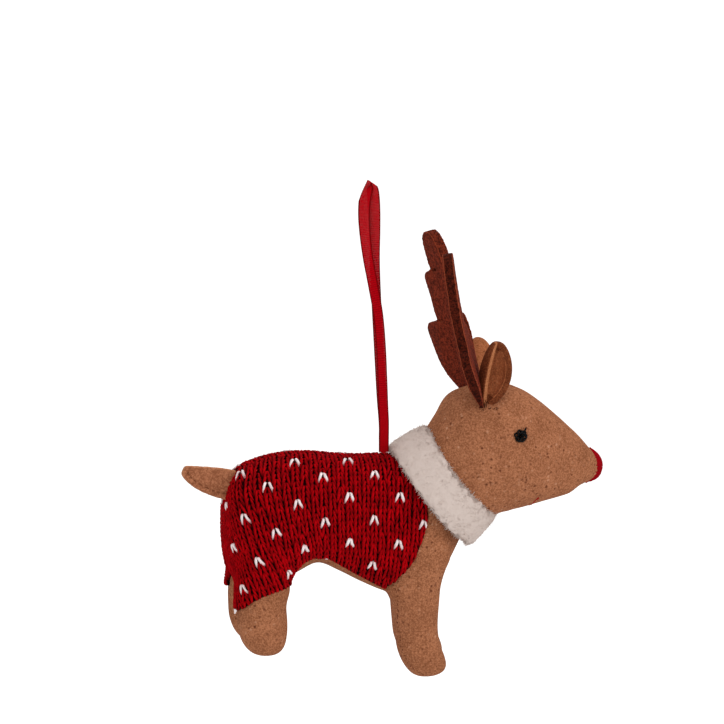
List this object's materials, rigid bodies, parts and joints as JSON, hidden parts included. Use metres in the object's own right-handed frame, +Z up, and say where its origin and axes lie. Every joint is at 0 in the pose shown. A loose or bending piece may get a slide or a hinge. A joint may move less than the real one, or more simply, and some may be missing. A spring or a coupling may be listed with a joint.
{
  "type": "felt christmas ornament",
  "caption": "Hand-sewn stuffed felt reindeer in a knitted red sweater with a fleece collar, felt ears and antlers, that hangs from a loop of narrow organza ribbon.",
  "frame": {"origin": "inside of the ribbon's top fold, the point the ornament hangs by", "axes": "+X towards the nose, +Y towards the animal's left, +Z up"},
  "size_m": [0.1326, 0.0535, 0.1559],
  "materials": {
    "red_organza": "sheer crosswise weave",
    "red_knit": "stockinette yarn with white chevrons",
    "white_fleece": "short fleece pile",
    "tan_felt": "pressed felt with brown flecks",
    "brown_felt": "thick pressed felt, cut edges",
    "red_thread": "wrapped thread",
    "black_thread": "knotted thread",
    "fibre_fill": "loose fibre fill"
  },
  "bodies": {
    "ribbon": {"ribbon_loop": "red_organza"},
    "ribbon_end": {"ribbon_root": "red_organza"},
    "deer": {"knitted_sweater": "red_knit", "fleece_collar": "white_fleece", "head_felt_left": "tan_felt", "head_felt_right": "tan_felt", "head_stuffing": "fibre_fill", "ear_left": "tan_felt", "ear_right": "tan_felt", "antler_left": "brown_felt", "antler_right": "brown_felt", "nose_cap": "red_thread", "eye_left": "black_thread", "eye_right": "black_thread", "mouth_stitch": "red_thread", "torso_felt_left": "tan_felt", "torso_felt_right": "tan_felt", "belly_gusset": "tan_felt", "torso_stuffing": "fibre_fill", "front_leg_left_felt": "tan_felt", "front_leg_left_stuffing": "fibre_fill", "front_leg_right_felt": "tan_felt", "front_leg_right_stuffing": "fibre_fill", "rear_leg_left_felt": "tan_felt", "rear_leg_left_stuffing": "fibre_fill", "rear_leg_right_felt": "tan_felt", "rear_leg_right_stuffing": "fibre_fill", "tail_layer_left": "tan_felt", "tail_layer_right": "tan_felt"}
  },
  "joints": [
    {"name": "ribbon_twist", "type": "hinge", "parent": "ribbon", "child": "ribbon_end", "pos_m": [0.0048, 0, -0.0759], "axis": [0, 0, 1], "range_deg": [-180, 180], "stiffness_Nm_per_rad": 0.00002},
    {"name": "deer_sway", "type": "hinge", "parent": "ribbon_end", "child": "deer", "pos_m": [0.0048, 0, -0.0847], "axis": [1, 0, 0], "range_deg": [-70, 70]}
  ]
}
